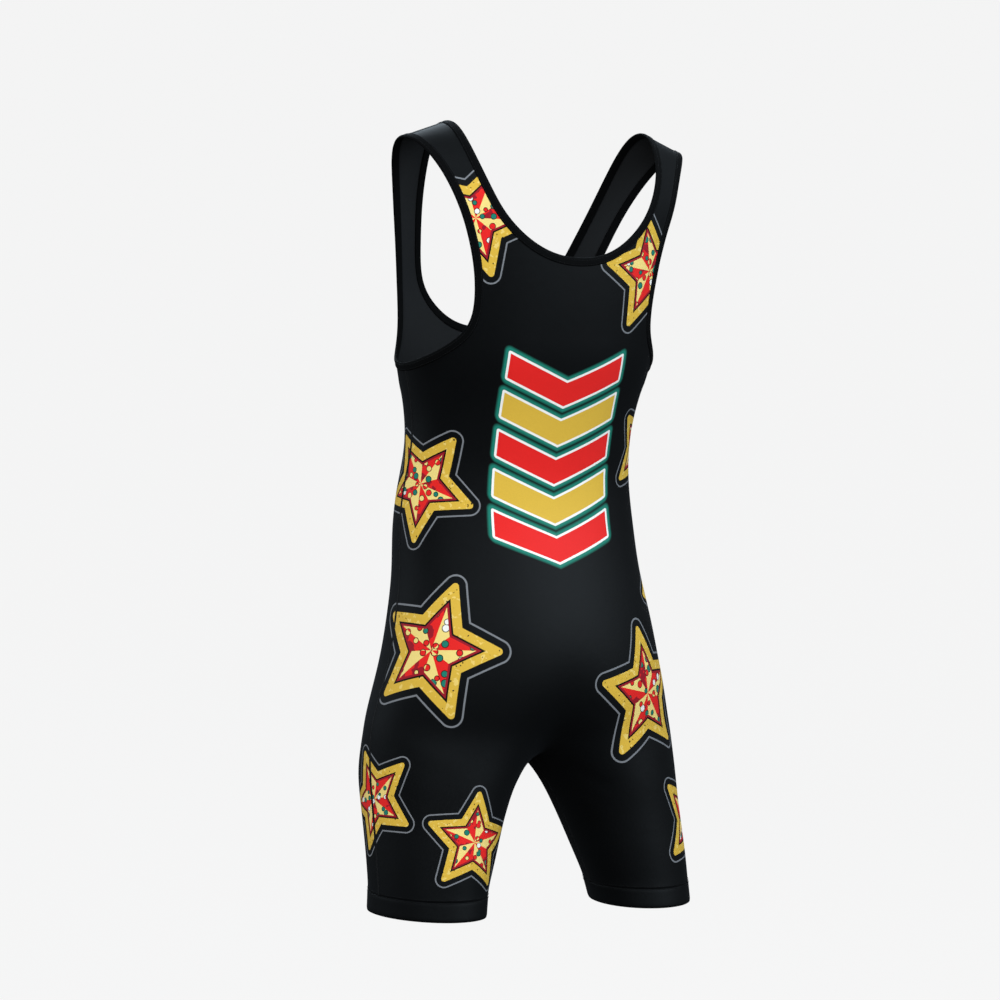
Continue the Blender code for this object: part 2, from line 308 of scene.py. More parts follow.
# A cloth's ink and finish, its loops' size and depth in millimetres, and how strongly they show
Cloth = namedtuple("Cloth", "ink roughness sheen specular loop depth strength")
CLOTHS = {
    "printed_knit": Cloth("cloth", 0.60, 0.025, 0.20, 0.9, 0.12, 0.35),
    "knit_inside": Cloth("inside", 0.75, 0.03, 0.15, 0.9, 0.15, 0.45),
    "binding_tape": Cloth("tape", 0.80, 0.01, 0.08, 0.7, 0.15, 0.45),
    "thread": Cloth("thread", 0.50, 0.02, 0.15, 0.4, 0.15, 0.45),
}
SHEEN_ROUGHNESS = 0.45
SHEEN_TINT = (0.62, 0.68, 0.76, 1)
MOTTLE = Noise(14, 2)  # between the inks of cloth and tape
YARN, YARN_SHARE = Noise(1100, 1), 0.16  # cloth showing through the print
FUZZ, FUZZ_SHARE = Noise(500, 2), 0.12  # paler fibres of unprinted cloth
BUMPS, BUMP_DEPTH, BUMP_STRENGTH = Noise(90, 3), 0.6, 0.35  # of stretched cloth, in millimetres

# -------------------- camera, stage and light

VIEW_TURN = math.radians(29)  # how far from straight behind the camera is, to the wearer's left
BACKWARD = Vector((math.sin(VIEW_TURN), math.cos(VIEW_TURN), 0))  # towards the camera
RIGHTWARD = Vector((-math.cos(VIEW_TURN), math.sin(VIEW_TURN), 0))  # to the right of the picture
CAMERA_AWAY = 3.5
CAMERA_ASIDE = -0.028
CAMERA_HEIGHT = -0.408
LENS_MM, SENSOR_MM = 112.5, 36.0
HORIZON_SHIFT = 0.005
FLOOR_Z = -1.55
WALL_AWAY, WALL_TOP = 4.5, 4.0
SWEEP_RADIUS = 1.5
SWEEP_STEPS, ROUND_STEPS = 16, 96
SWEEP_WELD = 0.0005
PAPER = {
    "Base Color": (0.02, 0.02, 0.02, 1),
    "Roughness": 0.9,
    "Specular IOR Level": 0.1,
    "Emission Color": (1, 1, 1, 1),
    "Emission Strength": 0.89,
}

# Where a softbox stands as the camera sees it, its size, its power in watts and its colour. Cool
# ones shine on the cloth, and white ones only light it evenly.
COOL, WHITE = (0.76, 0.89, 1.0), (1.0, 1.0, 1.0)
Softbox = namedtuple("Softbox", "name aside behind height width tall power colour shines")
SOFTBOXES = [
    Softbox("key_back", 2.8, 1.4, 1.4, 2.4, 2.4, 98, COOL, True),
    Softbox("key_front", -3.2, -0.4, 0.9, 2.4, 2.6, 26, COOL, True),
    Softbox("top_front", -0.4, -1.8, 2.3, 2.4, 2.4, 90, COOL, True),
    Softbox("soft_back", -0.6, 3.0, 1.5, 2.6, 2.4, 34, COOL, True),
    Softbox("even_back", -0.6, 3.2, 0.9, 2.6, 2.6, 84, WHITE, False),
    Softbox("even_front", 0.6, -3.2, 0.9, 2.6, 2.6, 90, WHITE, False),
]
SOFTBOX_AIM = (0, 0, -0.42)
WORLD_LIGHT = 0.3


# ==================== the skin


def superellipse(share, half_width, depth):
    """x and y of a quarter section, share 0 on the centre line and 1 at the side."""
    angle = share * math.pi / 2
    power = 2 / ROUNDNESS
    return half_width * math.sin(angle) ** power, depth * max(math.cos(angle), 0) ** power


def ring_points(ring):
    """Half a trunk ring, from the centre back round the side to the centre front."""
    points = []
    middle = (ring.back_y + ring.front_y) / 2
    for column in range(FRONT + 1):
        at_back = column <= SIDE
        share = column / SIDE if at_back else (FRONT - column) / (FRONT - SIDE)
        centre_y = ring.back_y if at_back else ring.front_y
        x, y = superellipse(share, ring.half_width, centre_y - middle)
        dip = ring.back_dip if at_back else ring.front_dip
        y -= math.copysign(dip * math.exp(-((x / DIP_WIDTH) ** 2)), centre_y - middle)
        end_z = ring.back_z if at_back else ring.front_z
        z = ring.side_z + (end_z - ring.side_z) * (1 - share) ** 2
        points.append(Vector((x * RING_SWELL, middle + y * RING_SWELL, z)))
    return points


def torso_section(z):
    """The torso's half width, centre back and centre front at height z, read from TORSO."""
    for low, high in zip(TORSO, TORSO[1:]):
        if z <= high.z or high is TORSO[-1]:
            t = min(max((z - low.z) / (high.z - low.z), 0), 1)
            return [a + (b - a) * t for a, b in zip(low[1:], high[1:])]


def torso_point(x, z, at_back):
    """The point of the upper torso at x and z, on its back or its chest."""
    half_width, back_y, front_y = torso_section(z)
    middle = (back_y + front_y) / 2
    depth = (back_y if at_back else front_y) - middle
    rise = (1 - min(x / half_width, 1) ** ROUNDNESS) ** (1 / ROUNDNESS)
    return Vector((x, middle + depth * rise, z))


def leg_point(leg, turn):
    """A point of a leg's ring. turn 0 faces the other leg, a quarter is the back."""
    angle = turn * 2 * math.pi
    x, y = -math.cos(angle), math.sin(angle)
    along = (-x * math.sin(TOE_OUT) + y * math.cos(TOE_OUT)) / leg.half_length
    across = (x * math.cos(TOE_OUT) + y * math.sin(TOE_OUT)) / leg.half_width
    reach = RING_SWELL / math.hypot(along, across)
    drop = HEM_DROP * y * reach
    return Vector((leg.centre_x + x * reach, leg.centre_y + y * reach, leg.z - drop))


class Cage:
    """The half cage as a bmesh. Faces between its rows of vertices are marked with their piece."""

    def __init__(self):
        self.bm = bmesh.new()

    def row(self, points):
        """New vertices at points given in millimetres."""
        return [self.bm.verts.new(point * MM) for point in points]

    def join(self, upper, lower, piece_of):
        """Faces between two rows. piece_of gives the piece of each column."""
        for column in range(len(upper) - 1):
            corners = (upper[column], upper[column + 1], lower[column + 1], lower[column])
            face = self.bm.faces.new(corners)
            face.material_index = piece_of(column)


def body_piece(column):
    """Back as far as the side seam, and chest from there."""
    return BACK if column < SIDE else CHEST


def leg_piece(column):
    """Back from the inseam round to the side seam, chest from there to the inseam."""
    return BACK if column < SIDE or column >= FRONT + CROTCH_STEPS // 2 else CHEST


def build_cage():
    """The wearer's left half of the garment: trunk, upper back and chest, strap and leg."""
    cage = Cage()
    trunk = [cage.row(ring_points(ring)) for ring in TRUNK]
    top = trunk[0]
    for step, (x, z) in enumerate(ARMHOLE_FOOT):
        for column, at_back in ((STRAP_OUT + step, True), (FRONT - STRAP_OUT - step, False)):
            top[column].co = torso_point(x, z, at_back) * MM
    for upper, lower in zip(trunk, trunk[1:]):
        cage.join(upper, lower, body_piece)

    back = [top[: STRAP_OUT + 1]]
    for row in BACK_ROWS:
        back.append(cage.row([torso_point(x, z, True) for x, z in row]))
        cage.join(back[-1], back[-2], lambda column: BACK)
    chest = [top[FRONT - STRAP_OUT :]]
    for row in CHEST_ROWS:
        chest.append(cage.row([torso_point(x, z, False) for x, z in reversed(row)]))
        cage.join(chest[-1], chest[-2], lambda column: CHEST)

    rungs = [back[-1][STRAP_IN:]]
    for rung in STRAP:
        neck, arm = Vector(rung[:3]), Vector(rung[3:])
        rungs.append(cage.row([neck, (neck + arm) / 2, arm]))
    rungs.append(chest[-1][: STRAP_OUT - STRAP_IN + 1][::-1])
    for number, (lower, upper) in enumerate(zip(rungs, rungs[1:])):
        piece = BACK if number <= SHOULDER_SEAM else CHEST
        cage.join(upper, lower, lambda column, piece=piece: piece)

    under = cage.row([Vector((0, y, z)) for y, z in CROTCH])[::-1]
    steps = FRONT + CROTCH_STEPS
    first_turn = CROTCH_STEPS / 2 / steps
    leg = [trunk[-1] + under]
    for ring in LEG:
        leg.append(cage.row([leg_point(ring, first_turn + k / steps) for k in range(steps)]))
    for number, (upper, lower) in enumerate(zip(leg, leg[1:])):
        piece_of = leg_piece if number < HEM_RING + 1 else lambda column: HEM_BAND
        cage.join(upper + upper[:1], lower + lower[:1], piece_of)
    return cage.bm


def new_object(name, data):
    """An object in the scene."""
    made = bpy.data.objects.new(name, data)
    bpy.context.scene.collection.objects.link(made)
    return made


def smooth_mesh():
    """The whole skin: the half cage mirrored and subdivided, as one open mesh."""
    mesh = bpy.data.meshes.new("skin")
    bm = build_cage()
    bm.to_mesh(mesh)
    bm.free()
    for kind in (BACK, CHEST, HEM_BAND):
        mesh.materials.append(bpy.data.materials.new(f"kind_{kind}"))
    guide = new_object("skin_guide", mesh)
    mirror = guide.modifiers.new("Mirror", "MIRROR")
    mirror.use_clip = True
    mirror.merge_threshold = MIRROR_WELD * MM
    smooth = guide.modifiers.new("Subdivision", "SUBSURF")
    smooth.levels = smooth.render_levels = SUBDIVISIONS
    evaluated = guide.evaluated_get(bpy.context.evaluated_depsgraph_get())
    skin = bpy.data.meshes.new_from_object(evaluated)
    bpy.data.objects.remove(guide, do_unlink=True)
    return skin


def carry_on(line, edges):
    """A line of vertices, carried on along the edges of a set, which loses them."""
    while following := next((edge for edge in line[-1].link_edges if edge in edges), None):
        edges.remove(following)
        line.append(following.other_vert(line[-1]))
    return line


class Skin:
    """The smooth skin as a bmesh, with what the pieces ask of it."""

    def __init__(self):
        self.bm = bmesh.new()
        self.bm.from_mesh(smooth_mesh())
        self.settle()
        self.press_creases()
        self.settle()
        self.tree = BVHTree.FromBMesh(self.bm)

    def settle(self):
        """Brings normals, tables and numbers up to date."""
        self.bm.normal_update()
        self.bm.verts.ensure_lookup_table()
        self.bm.faces.ensure_lookup_table()
        self.bm.verts.index_update()
        self.bm.faces.index_update()

    def press_creases(self):
        """Moves the skin in and out along CREASES."""
        places = np.array([vert.co for vert in self.bm.verts])
        rise = np.zeros(len(places))
        for crease in CREASES:
            start, end = np.array(crease[:3]) * MM, np.array(crease[3:6]) * MM
            run = end - start
            share = np.clip((places - start) @ run / (run @ run), 0, 1)
            away = np.linalg.norm(places - start - share[:, None] * run, axis=1)
            fade = np.sin(np.pi * np.clip(share, CREASE_END, 1 - CREASE_END)) ** CREASE_FADE
            rise += crease.rise * MM * fade * np.exp(-((away / (crease.width * MM)) ** 2))
        for vert, height in zip(self.bm.verts, rise):
            vert.co += vert.normal * height

    def nearest(self, point):
        """The nearest point of the skin, its normal and its face's number."""
        place, normal, number, _ = self.tree.find_nearest(point)
        return place, self.smooth_normal(place, self.bm.faces[number]), number

    def smooth_normal(self, place, face):
        """The normal at a place on a face, blended from the face's corners."""
        blended = Vector()
        for vert in face.verts:
            blended += vert.normal / ((vert.co - place).length + TINY)
        return blended.normalized()

    def edge_loops(self):
        """The open edges, as rings of vertices."""
        edges = {edge for edge in self.bm.edges if edge.is_boundary}
        loops = []
        while edges:
            first = min(edges, key=lambda edge: edge.index)
            edges.remove(first)
            loops.append(carry_on(list(first.verts), edges)[:-1])
        return loops

    def seam_lines(self):
        """The lines along which back and chest meet, as lists of vertices."""
        edges = set()
        for edge in self.bm.edges:
            if {face.material_index for face in edge.link_faces} == {BACK, CHEST}:
                edges.add(edge)
        meeting = Counter(vert for edge in edges for vert in edge.verts)
        ends = sorted((v for v in meeting if meeting[v] == 1), key=lambda vert: vert.index)
        lines = [carry_on([end], edges) for end in ends]
        return [line for line in lines if len(line) > 1]


# ==================== the print's coordinates


def laid_flat(direction, normal):
    """A direction in the skin, laid in the tangent plane of another corner."""
    return (direction - normal * direction.dot(normal)).normalized()


class Unrolled:
    """Flat coordinates on the skin round a middle, grown outward from corner to corner.

    The middle is in millimetres, and the coordinates and the reach are in metres.
    """

    def __init__(self, skin, middle, turn, reach):
        place, normal, number = skin.nearest(Vector(middle) * MM)
        across = Vector((0, 0, 1)).cross(normal).normalized()
        across = Matrix.Rotation(turn, 3, normal) @ across
        self.flat = {}
        self.across = {}
        waiting = []
        for vert in skin.bm.faces[number].verts:
            step = vert.co - place
            self.flat[vert.index] = (step.dot(across), step.dot(normal.cross(across)))
            self.across[vert.index] = laid_flat(across, vert.normal)
            heapq.heappush(waiting, (math.hypot(*self.flat[vert.index]), vert.index))
        settled = set()
        while waiting:
            away, index = heapq.heappop(waiting)
            if index in settled:
                continue
            settled.add(index)
            if away > reach:
                continue
            for edge in skin.bm.verts[index].link_edges:
                other = edge.other_vert(skin.bm.verts[index])
                if other.index not in settled:
                    self.flat[other.index] = self.reached(other, settled)
                    heapq.heappush(waiting, (math.hypot(*self.flat[other.index]), other.index))

    def reached(self, vert, settled):
        """A corner's flat place, the mean of what its settled neighbours give."""
        total, weight, direction = Vector((0, 0)), 0.0, Vector()
        neighbours = {v for face in vert.link_faces for v in face.verts if v is not vert}
        for near in sorted(neighbours, key=lambda v: v.index):
            if near.index not in settled:
                continue
            step = vert.co - near.co
            across = self.across[near.index]
            flat_step = step - near.normal * step.dot(near.normal)
            flat_step *= step.length / max(flat_step.length, NO_LENGTH)
            share = 1 / step.length
            u, v = self.flat[near.index]
            v_step = flat_step.dot(near.normal.cross(across))
            total += share * Vector((u + flat_step.dot(across), v + v_step))
            direction += share * across
            weight += share
        self.across[vert.index] = laid_flat(direction, vert.normal)
        return tuple(total / weight)


def print_layers(skin):
    """For each face of the skin, its corners' print coordinates, or None where it has no print."""
    motifs = []
    for number, star in enumerate(STARS):
        radius = star.radius * MM
        unrolled = Unrolled(skin, star[:3], math.radians(star.turn), radius * STAR_REACH)
        motifs.append((unrolled.flat, radius, star_margin, STAR_LAYER + number * STAR_STEP))
    chevrons = Unrolled(skin, CHEVRON_STACK, 0, CHEVRON_REACH)
    motifs.append((chevrons.flat, 1.0, chevron_margin, CHEVRON_LAYER))
    layers = []
    for face in skin.bm.faces:
        best, nearest = None, PRINT_MARGIN
        for flat, unit, margin, layer in motifs:
            if not all(vert.index in flat for vert in face.verts):
                continue
            corners = {}
            for vert in face.verts:
                u, v = flat[vert.index]
                corners[vert.index] = (u / unit, v / unit, layer)
            away = unit * sum(margin(u, v) for u, v, _ in corners.values()) / len(corners)
            if away < nearest:
                best, nearest = corners, away
        layers.append(best)
    return layers


def star_margin(u, v):
    """How far a place lies outside a star's outline, in the star's radii. Below 0 inside it."""
    angle = abs(math.atan2(u, v)) % (2 * HALF_POINT)
    angle = min(angle, 2 * HALF_POINT - angle)
    place = math.hypot(u, v) * Vector((math.sin(angle), math.cos(angle)))
    tip = Vector((0, 1))
    edge = STAR_WAIST * Vector((math.sin(HALF_POINT), math.cos(HALF_POINT))) - tip
    from_tip = place - tip
    if from_tip.dot(edge) < 0:
        return from_tip.length - STAR_OUTLINE
    return from_tip.dot(Vector((-edge.y, edge.x)).normalized()) - STAR_OUTLINE


def chevron_margin(u, v):
    """How far a place lies outside the chevrons and their glow, in metres. Below 0 inside them."""
    drop = abs(u) * CHEVRON_SLOPE - v
    side = abs(u) - CHEVRON_HALF_WIDTH
    distances = []
    for down, _ in CHEVRONS:
        thick = (abs(drop - down) - CHEVRON_THICKNESS / 2) * CHEVRON_SQUASH
        distances.append(math.hypot(max(side, 0), max(thick, 0)) + min(max(side, thick), 0))
    return min(distances) - GLOW


# ==================== pieces


def new_piece(name, vertices, faces, materials):
    """A smooth mesh that rides on the garment's only body."""
    mesh = bpy.data.meshes.new(name)
    mesh.from_pydata(vertices, [], faces)
    for material in materials:
        mesh.materials.append(material)
    mesh.shade_smooth()
    piece = new_object(name, mesh)
    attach(piece, "root")
    return piece


def wall(name, skin, layers, kind, side, outside, inside, roll, materials):
    """A closed thin wall over the skin's faces of one kind, printed on its outer face.

    side is 1 or -1 for the wearer's left or right alone, or 0 for both. outside and inside are out
    from the skin, and roll is how far the rims fall in, all in millimetres.
    """
    faces = [f for f in skin.bm.faces if f.material_index == kind]
    faces = [f for f in faces if f.calc_center_median().x * side >= 0]
    own = set(faces)
    corners = sorted({vert for face in faces for vert in face.verts}, key=lambda vert: vert.index)
    number = {vert.index: k for k, vert in enumerate(corners)}
    rim = set()
    rim_edges = []
    for face in faces:
        for loop in face.loops:
            if sum(f in own for f in loop.edge.link_faces) == 1:
                rim_edges.append((number[loop.vert.index], number[loop.link_loop_next.vert.index]))
                rim.update(loop.edge.verts)
    count = len(corners)
    out = [v.co + v.normal * (outside - (roll if v in rim else 0)) * MM for v in corners]
    back = [v.co + v.normal * (inside + (roll if v in rim else 0)) * MM for v in corners]
    rim_numbers = sorted({k for edge in rim_edges for k in edge})
    middle = {k: 2 * count + n for n, k in enumerate(rim_numbers)}
    centres = [(out[k] + back[k]) / 2 for k in middle]
    polygons = [tuple(number[v.index] for v in face.verts) for face in faces]
    solid = list(polygons)
    solid += [tuple(count + k for k in reversed(polygon)) for polygon in polygons]
    for start, end in rim_edges:
        solid.append((end, start, middle[start], middle[end]))
        solid.append((middle[end], middle[start], count + start, count + end))
    piece = new_piece(name, out + back + centres, solid, materials)
    for polygon in piece.data.polygons[len(faces) : 2 * len(faces)]:
        polygon.material_index = 1
    print_corners(piece.data, [layers[face.index] for face in faces], corners)
    return piece


def print_corners(mesh, printed, corners):
    """Writes the outer faces' print coordinates to their corners."""
    coordinates = mesh.attributes.new("print", "FLOAT_VECTOR", "CORNER")
    values = np.zeros((len(mesh.loops), 3), np.float32)
    for polygon, corner_print in zip(mesh.polygons, printed):
        if corner_print:
            for loop in polygon.loop_indices:
                values[loop] = corner_print[corners[mesh.loops[loop].vertex_index].index]
    coordinates.data.foreach_set("vector", values.ravel())


def loop_frames(skin, loop):
    """Along an open edge: each place, the skin's normal and the way into the cloth."""
    frames = []
    for before, vert, after in zip(loop[-1:] + loop[:-1], loop, loop[1:] + loop[:1]):
        along = (after.co - before.co).normalized()
        inward = vert.normal.cross(along).normalized()
        centres = [face.calc_center_median() for face in vert.link_faces]
        if inward.dot(sum(centres, Vector()) / len(centres) - vert.co) < 0:
            inward = -inward
        frames.append((vert.co.copy(), vert.normal.copy(), inward))
    return frames


def on_skin(skin, frame, inset, out):
    """A place in from an open edge and out from the skin, in millimetres, and its normal."""
    place, normal, inward = frame
    if inset <= 0:
        return place + inward * inset * MM + normal * out * MM, normal
    place, normal, _ = skin.nearest(place + inward * inset * MM)
    return place + normal * out * MM, normal


def add_band(faces, ring, following, points):
    """Faces between two closed rings of points, each given by its first corner's number."""
    for point in range(points):
        turned = (point + 1) % points
        faces.append((ring + point, ring + turned, following + turned, following + point))


def add_rod(faces, first, last, points):
    """Faces over a rod of rings and its two ends."""
    for ring in range(first, last, points):
        add_band(faces, ring, ring + points, points)
    faces.append(tuple(first + point for point in reversed(range(points))))
    faces.append(tuple(last + point for point in range(points)))


def binding(name, skin, loop, material):
    """A tape folded over an open edge."""
    vertices, faces = [], []
    frames = loop_frames(skin, loop)
    for frame in frames:
        vertices += [on_skin(skin, frame, inset, out)[0] for inset, out in TAPE]
    rings, points = len(frames), len(TAPE)
    for ring in range(rings):
        add_band(faces, ring * points, (ring + 1) % rings * points, points)
    piece = new_piece(name, vertices, faces, [material])
    turn_outward(piece.data)
    return piece


def turn_outward(mesh):
    """Makes a closed mesh's faces point out."""
    bm = bmesh.new()
    bm.from_mesh(mesh)
    bmesh.ops.recalc_face_normals(bm, faces=bm.faces)
    bm.to_mesh(mesh)
    bm.free()


# ==================== seams and stitches


def spaced(line, pitch):
    """Places at an even pitch along a line, each with its normal and the way along."""
    result = []
    wanted, passed = pitch / 2, 0.0
    for (start, start_normal), (end, end_normal) in zip(line, line[1:]):
        length = (end - start).length
        while wanted <= passed + length:
            t = (wanted - passed) / length
            normal = start_normal.lerp(end_normal, t).normalized()
            result.append((start.lerp(end, t), normal, (end - start) / length))
            wanted += pitch
        passed += length
    return result


def add_thread(vertices, faces, place, along, up, length, width):
    """A short thread that tapers to both ends. Its length and width are in millimetres."""
    aside = up.cross(along)
    first = len(vertices)
    for share, size in THREAD_PROFILE:
        centre = place + along * (length * MM) * share
        for side in range(THREAD_SIDES):
            angle = side * 2 * math.pi / THREAD_SIDES
            spoke = aside * math.cos(angle) + up * math.sin(angle)
            vertices.append(centre + spoke * (width * MM) / 2 * size)
    add_rod(faces, first, len(vertices) - THREAD_SIDES, THREAD_SIDES)


def running_stitches(vertices, faces, line, stitching):
    """Stitches one behind another along a line of places and normals."""
    for place, normal, along in spaced(line, stitching.pitch * MM):
        centre = place + normal * stitching.rise * MM
        add_thread(vertices, faces, centre, along, normal, stitching.length, stitching.width)


def edge_stitches(name, skin, loops, rows, material):
    """Rows of running stitches beside open edges, as one piece."""
    vertices, faces = [], []
    for loop in loops:
        frames = loop_frames(skin, loop)
        for row in rows:
            line = [on_skin(skin, frame, row.inset, 0) for frame in frames]
            running_stitches(vertices, faces, line + line[:1], row)
    piece = new_piece(name, vertices, faces, [material])
    turn_outward(piece.data)
    return piece


def flatlock(name, skin, lines, material):
    """Flat bands over the butted edges of back and front, with two rows of slanting threads."""
    vertices, faces = [], []
    base = PANEL_OUT * MM
    points = len(SEAM_SECTION)
    for line in lines:
        places = [(vert.co, vert.normal) for vert in line]
        first = len(vertices)
        for k, (place, normal) in enumerate(places):
            along = (places[min(k + 1, len(places) - 1)][0] - places[max(k - 1, 0)][0]).normalized()
            aside = normal.cross(along)
            for share, height in SEAM_SECTION:
                out = base + height * SEAM_RISE * MM
                vertices.append(place + aside * share * SEAM_WIDTH * MM + normal * out)
        add_rod(faces, first, len(vertices) - points, points)
        for side in (-1, 1):
            for place, normal, along in spaced(places, SEAM_PITCH * MM):
                aside = normal.cross(along)
                centre = place + aside * side * SEAM_ROW * SEAM_WIDTH * MM
                centre += normal * (base + SEAM_RISE * MM)
                slant = (aside * side + along * SEAM_SLANT).normalized()
                add_thread(vertices, faces, centre, slant, normal, *SEAM_THREAD)
    piece = new_piece(name, vertices, faces, [material])
    turn_outward(piece.data)
    return piece


# ==================== materials


class Shader:
    """A cloth's material, with short ways to add nodes to it. A value is a number or a socket."""

    def __init__(self, name):
        self.cloth = CLOTHS[name]
        self.material = bpy.data.materials.new(name)
        self.material.use_nodes = True
        self.tree = self.material.node_tree
        self.surface = self.tree.nodes["Principled BSDF"]
        self.set("Roughness", self.cloth.roughness)
        self.set("Sheen Weight", self.cloth.sheen)
        self.set("Sheen Roughness", SHEEN_ROUGHNESS)
        self.set("Sheen Tint", SHEEN_TINT)
        self.set("Specular IOR Level", self.cloth.specular)
        self.place = self.tree.nodes.new("ShaderNodeTexCoord").outputs["Object"]

    def set(self, name, value):
        """Sets or links one of the surface's own sockets."""
        self.put(self.surface.inputs[name], value)

    def put(self, socket, value):
        if isinstance(value, bpy.types.NodeSocket):
            self.tree.links.new(value, socket)
        else:
            socket.default_value = value

    def math(self, operation, *values):
        node = self.tree.nodes.new("ShaderNodeMath")
        node.operation = operation
        for socket, value in zip(node.inputs, values):
            self.put(socket, value)
        return node.outputs[0]

    def below(self, value, limit):
        return self.math("LESS_THAN", value, limit)

    def above(self, value, limit):
        return self.math("GREATER_THAN", value, limit)

    def plus(self, first, second):
        return self.math("ADD", first, second)

    def minus(self, first, second):
        return self.math("SUBTRACT", first, second)

    def times(self, first, second):
        return self.math("MULTIPLY", first, second)

    def length(self, x, y):
        return self.math("SQRT", self.plus(self.times(x, x), self.times(y, y)))

    def mix(self, share, first, second):
        """The first colour, with the second over it. A colour is an ink's name or a socket."""
        node = self.tree.nodes.new("ShaderNodeMix")
        node.data_type = "RGBA"
        self.put(node.inputs["Factor"], share)
        colours = [socket for socket in node.inputs if socket.type == "RGBA"]
        for socket, colour in zip(colours, (first, second)):
            self.put(socket, (*INK[colour], 1) if isinstance(colour, str) else colour)
        return next(socket for socket in node.outputs if socket.type == "RGBA")

    def noise(self, kind, vector=None):
        node = self.tree.nodes.new("ShaderNodeTexNoise")
        self.put(node.inputs["Vector"], vector or self.place)
        node.inputs["Scale"].default_value = kind.scale
        node.inputs["Detail"].default_value = kind.detail
        return node.outputs["Fac"]

    def cells(self, scale, vector, dimensions):
        """Distance to the nearest of scattered points, and a random colour for each."""
        node = self.tree.nodes.new("ShaderNodeTexVoronoi")
        node.voronoi_dimensions = dimensions
        self.put(node.inputs["Vector"], vector)
        node.inputs["Scale"].default_value = scale
        return node.outputs["Distance"], node.outputs["Color"]

    def parts(self, vector):
        node = self.tree.nodes.new("ShaderNodeSeparateXYZ")
        self.put(node.inputs[0], vector)
        return node.outputs[0], node.outputs[1], node.outputs[2]

    def bump(self, height, distance, strength, under=None):
        node = self.tree.nodes.new("ShaderNodeBump")
        node.inputs["Distance"].default_value = distance
        node.inputs["Strength"].default_value = strength
        self.put(node.inputs["Height"], height)
        if under:
            self.put(node.inputs["Normal"], under)
        return node.outputs["Normal"]

    def finish(self, colour):
        """Gives the surface its colour, its loops and the slow bumps of stretched cloth."""
        self.set("Base Color", colour)
        loops, _ = self.cells(1 / (self.cloth.loop * MM), self.place, "3D")
        uneven = self.bump(self.noise(BUMPS), BUMP_DEPTH * MM, BUMP_STRENGTH)
        self.set("Normal", self.bump(loops, self.cloth.depth * MM, self.cloth.strength, uneven))
        return self.material


def star_ink(shader, u, v, layer, cloth):
    """The ink of a star at u and v, in its radii. Each layer has its own dots and patches."""
    across = 1 - STAR_WAIST * math.cos(HALF_POINT)
    up = STAR_WAIST * math.sin(HALF_POINT)
    edge = math.hypot(across, up)

    radius = shader.length(u, v)
    angle = shader.math("ARCTAN2", u, v)
    folded = shader.math("PINGPONG", angle, HALF_POINT)
    x = shader.times(radius, shader.math("SINE", folded))
    y = shader.times(radius, shader.math("COSINE", folded))
    below_tip = shader.minus(1.0, y)
    from_edge = shader.minus(shader.times(x, across / edge), shader.times(below_tip, up / edge))
    along_edge = shader.plus(shader.times(x, up / edge), shader.times(below_tip, across / edge))
    from_tip = shader.length(x, below_tip)
    past_tip = shader.below(along_edge, 0.0)
    beside_edge = shader.times(shader.minus(1.0, past_tip), from_edge)
    distance = shader.plus(shader.times(past_tip, from_tip), beside_edge)
    facet = shader.below(shader.math("FRACT", shader.math("DIVIDE", angle, 2 * HALF_POINT)), 0.5)

    own = shader.tree.nodes.new("ShaderNodeCombineXYZ")
    shader.put(own.inputs[0], shader.math("MULTIPLY_ADD", layer, DOTS_APART / STAR_STEP, u))
    shader.put(own.inputs[1], v)
    flat = own.outputs[0]
    red = shader.mix(shader.above(shader.noise(SHADE, flat), SHADE_ABOVE), "red", "crimson")
    field = shader.mix(facet, red, "yellow")
    dots, chance = shader.cells(DOT_SCALE, flat, "2D")
    pick, size, _ = shader.parts(chance)
    dot_radius = shader.math("MULTIPLY_ADD", size, DOT_SPREAD, DOT_RADIUS)
    dot = shader.mix(shader.below(pick, DOTS_TEAL), shader.mix(facet, "yellow", "red"), "teal")
    dot = shader.mix(shader.above(pick, DOTS_NOT_WHITE), dot, "white")
    field = shader.mix(shader.below(dots, shader.plus(dot_radius, DOT_LINE)), field, "cloth")
    field = shader.mix(shader.below(dots, dot_radius), field, dot)

    strokes = shader.above(shader.noise(STROKES, flat), STROKES_ABOVE)
    rim = shader.mix(shader.times(strokes, STROKE_SHARE), "gold", "yellow")
    rim = shader.mix(shader.above(shader.noise(FLECKS, flat), FLECKS_ABOVE), rim, "cloth")

    ink = cloth
    drawn = {"rim": rim, "field": field}
    for out, band in STAR_BANDS:
        ink = shader.mix(shader.below(distance, out), ink, drawn.get(band, band))
    return ink


